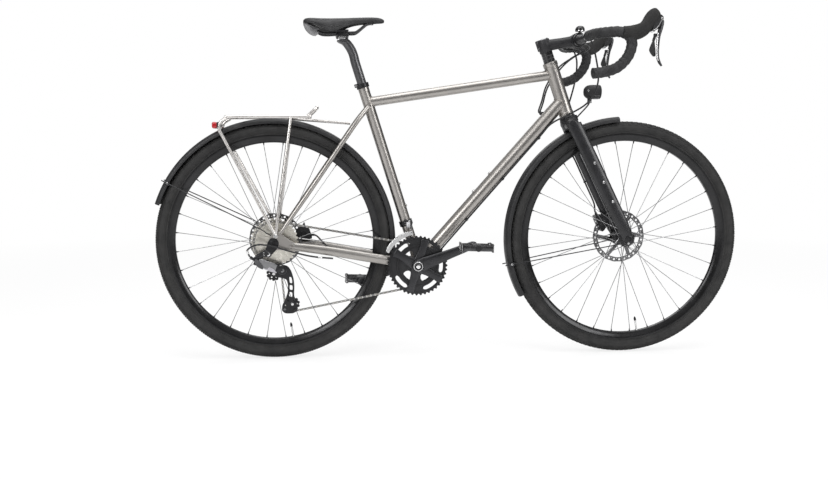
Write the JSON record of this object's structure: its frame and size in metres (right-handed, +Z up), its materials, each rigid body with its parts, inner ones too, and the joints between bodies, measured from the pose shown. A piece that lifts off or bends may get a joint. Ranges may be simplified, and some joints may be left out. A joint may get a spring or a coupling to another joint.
{
  "type": "gravel bicycle",
  "caption": "Diamond-frame gravel bicycle with drop bar, disc brakes, two-ring derailleur drive, mudguards, rear rack, lamp and bell.",
  "frame": {"origin": "on the ground, midway between the wheel axles, in the middle plane", "axes": "+X forward along the wheelbase, +Y to the rider's left, +Z up"},
  "size_m": [1.747, 0.482, 1],
  "materials": {
    "titanium": "satin",
    "rack_titanium": "satin",
    "satin_black": "satin black",
    "black_alloy": "anodised black",
    "black_plastic": "matt",
    "rubber": "matt",
    "tyre": "matt",
    "tape": "textured",
    "steel": "polished",
    "nickel": "plated",
    "dark_steel": "dark",
    "red_lens": "gloss"
  },
  "bodies": {
    "frame": {"frame": "titanium", "seat_collar": "black_alloy", "bottom_bracket": "black_alloy", "rear_rack": "rack_titanium", "rear_mudguard": "black_plastic", "rear_light": "red_lens", "rear_axle": "steel", "rear_caliper": "black_alloy", "rear_brake_pads": "dark_steel", "rd_bracket": "black_alloy", "fd_base": "dark_steel", "rear_brake_hose": "rubber", "shift_housings": "rubber", "rear_shift_housing": "rubber", "chain": "dark_steel"},
    "seatpost": {"seatpost": "satin_black"},
    "saddle_cradle": {"saddle_clamp": "black_alloy"},
    "saddle": {"saddle_rails": "black_alloy", "saddle": "black_plastic"},
    "rear_wheel": {"rear_tyre": "tyre", "rear_rim": "black_alloy", "rear_hub_spokes": "steel", "rear_rotor": "steel"},
    "cassette": {"cassette": "nickel"},
    "crank": {"crank_right": "black_alloy", "crank_left": "black_alloy", "chainrings": "black_alloy"},
    "pedal_right": {"pedal_right": "black_plastic"},
    "pedal_left": {"pedal_left": "black_plastic"},
    "rd_outer_link": {"rd_outer_link": "dark_steel"},
    "rd_inner_link": {"rd_inner_link": "black_alloy"},
    "rd_knuckle": {"rd_knuckle": "black_alloy"},
    "rd_cage": {"rd_cage": "black_alloy"},
    "guide_pulley": {"guide_pulley": "black_plastic"},
    "tension_pulley": {"tension_pulley": "black_plastic"},
    "fd_link": {"fd_link": "steel"},
    "fd_cage": {"fd_cage": "steel"},
    "steering": {"fork": "satin_black", "stem": "satin_black", "handlebar": "black_alloy", "bar_tape_right": "tape", "bar_tape_left": "tape", "lever_body_right": "rubber", "lever_body_left": "rubber", "front_mudguard": "black_plastic", "headlamp_bracket": "black_alloy", "bell": "satin_black", "front_caliper": "black_alloy", "front_brake_pads": "dark_steel", "front_axle": "steel", "front_brake_hose": "rubber"},
    "front_wheel": {"front_tyre": "tyre", "front_rim": "black_alloy", "front_hub_spokes": "steel", "front_rotor": "steel"},
    "headlamp": {"headlamp": "black_plastic"},
    "brake_lever_right": {"brake_lever_right": "black_alloy"},
    "brake_lever_left": {"brake_lever_left": "black_alloy"},
    "shift_paddle_right": {"shift_paddle_right": "black_plastic"},
    "shift_paddle_left": {"shift_paddle_left": "black_plastic"}
  },
  "joints": [
    {"name": "steering_turn", "type": "hinge", "parent": "frame", "child": "steering", "pos_m": [0.34771, 0, 0.715], "axis": [-0.3256, 0, 0.9455], "range_deg": [-70, 70], "deforming": ["rear_brake_hose", "shift_housings"]},
    {"name": "front_wheel_spin", "type": "hinge", "parent": "steering", "child": "front_wheel", "pos_m": [0.5245, 0, 0.349], "axis": [0, 1, 0], "continuous": true},
    {"name": "rear_wheel_spin", "type": "hinge", "parent": "frame", "child": "rear_wheel", "pos_m": [-0.5245, 0, 0.349], "axis": [0, 1, 0], "continuous": true},
    {"name": "crank_spin", "type": "hinge", "parent": "frame", "child": "crank", "pos_m": [-0.1055, 0, 0.2765], "axis": [0, 1, 0], "continuous": true, "deforming": ["chain"]},
    {"name": "cassette_spin", "type": "hinge", "parent": "frame", "child": "cassette", "pos_m": [-0.5245, 0, 0.349], "axis": [0, 1, 0], "continuous": true},
    {"name": "pedal_right_spin", "type": "hinge", "parent": "crank", "child": "pedal_right", "pos_m": [0.05576, -0.0675, 0.33776], "axis": [0, 1, 0], "continuous": true},
    {"name": "pedal_left_spin", "type": "hinge", "parent": "crank", "child": "pedal_left", "pos_m": [-0.26676, 0.0675, 0.21524], "axis": [0, 1, 0], "continuous": true},
    {"name": "rear_shift_swing", "type": "hinge", "parent": "frame", "child": "rd_outer_link", "pos_m": [-0.5745, -0.087, 0.301], "axis": [0.375, 0, 0.927], "range_deg": [-22, 4]},
    {"name": "rd_inner_swing", "type": "hinge", "parent": "frame", "child": "rd_inner_link", "pos_m": [-0.5745, -0.087, 0.301], "axis": [0.375, 0, 0.927], "range_deg": [-22, 4]},
    {"name": "rd_knuckle_swing", "type": "hinge", "parent": "rd_outer_link", "child": "rd_knuckle", "pos_m": [-0.5205, -0.064, 0.279], "axis": [0.375, 0, 0.927], "range_deg": [-4, 22]},
    {"name": "rd_cage_swing", "type": "hinge", "parent": "rd_knuckle", "child": "rd_cage", "pos_m": [-0.5015, -0.055, 0.27], "axis": [0, 1, 0], "range_deg": [-20, 12], "stiffness_Nm_per_rad": 1},
    {"name": "guide_pulley_spin", "type": "hinge", "parent": "rd_cage", "child": "guide_pulley", "pos_m": [-0.528, -0.03074, 0.2565], "axis": [0, 1, 0], "continuous": true},
    {"name": "tension_pulley_spin", "type": "hinge", "parent": "rd_cage", "child": "tension_pulley", "pos_m": [-0.4745, -0.03074, 0.1655], "axis": [0, 1, 0], "continuous": true},
    {"name": "front_shift_swing", "type": "hinge", "parent": "frame", "child": "fd_link", "pos_m": [-0.1315, -0.0335, 0.401], "axis": [1, 0, 0], "range_deg": [-24, 5]},
    {"name": "fd_cage_swing", "type": "hinge", "parent": "fd_link", "child": "fd_cage", "pos_m": [-0.1315, -0.0415, 0.389], "axis": [1, 0, 0], "range_deg": [-5, 24]},
    {"name": "seatpost_height", "type": "slide", "parent": "frame", "child": "seatpost", "axis": [-0.299, 0, 0.9542], "range_m": [-0.02, 0.02]},
    {"name": "saddle_tilt", "type": "hinge", "parent": "seatpost", "child": "saddle_cradle", "pos_m": [-0.32, 0, 0.9375], "axis": [0, 1, 0], "range_deg": [-6, 6]},
    {"name": "saddle_fore_aft", "type": "slide", "parent": "saddle_cradle", "child": "saddle", "axis": [1, 0, 0], "range_m": [-0.01, 0.01]},
    {"name": "headlamp_tilt", "type": "hinge", "parent": "steering", "child": "headlamp", "pos_m": [0.4155, 0, 0.756], "axis": [0, 1, 0], "range_deg": [-20, 20]},
    {"name": "brake_pull_right", "type": "hinge", "parent": "steering", "child": "brake_lever_right", "pos_m": [0.5395, -0.22, 0.971], "axis": [0, 1, 0], "range_deg": [0, 12], "stiffness_Nm_per_rad": 1.5, "springref_deg": -5.73, "deforming": ["rear_brake_pads"]},
    {"name": "brake_pull_left", "type": "hinge", "parent": "steering", "child": "brake_lever_left", "pos_m": [0.5395, 0.22, 0.971], "axis": [0, 1, 0], "range_deg": [0, 12], "stiffness_Nm_per_rad": 1.5, "springref_deg": -5.73, "deforming": ["front_brake_pads"]},
    {"name": "shift_push_right", "type": "hinge", "parent": "brake_lever_right", "child": "shift_paddle_right", "pos_m": [0.5315, -0.22, 0.93], "axis": [1, 0, 0], "range_deg": [0, 10], "stiffness_Nm_per_rad": 0.5, "springref_deg": -5.73},
    {"name": "shift_push_left", "type": "hinge", "parent": "brake_lever_left", "child": "shift_paddle_left", "pos_m": [0.5315, 0.22, 0.93], "axis": [1, 0, 0], "range_deg": [-10, 0], "stiffness_Nm_per_rad": 0.5, "springref_deg": 5.73}
  ],
  "couplings": [
    {"joint": "cassette_spin", "follows": "crank_spin", "ratio": 1},
    {"joint": "guide_pulley_spin", "follows": "crank_spin", "ratio": -2.7273},
    {"joint": "tension_pulley_spin", "follows": "crank_spin", "ratio": 2.7273},
    {"joint": "rd_inner_swing", "follows": "rear_shift_swing", "ratio": 1},
    {"joint": "rd_knuckle_swing", "follows": "rear_shift_swing", "ratio": -1},
    {"joint": "fd_cage_swing", "follows": "front_shift_swing", "ratio": -1}
  ]
}
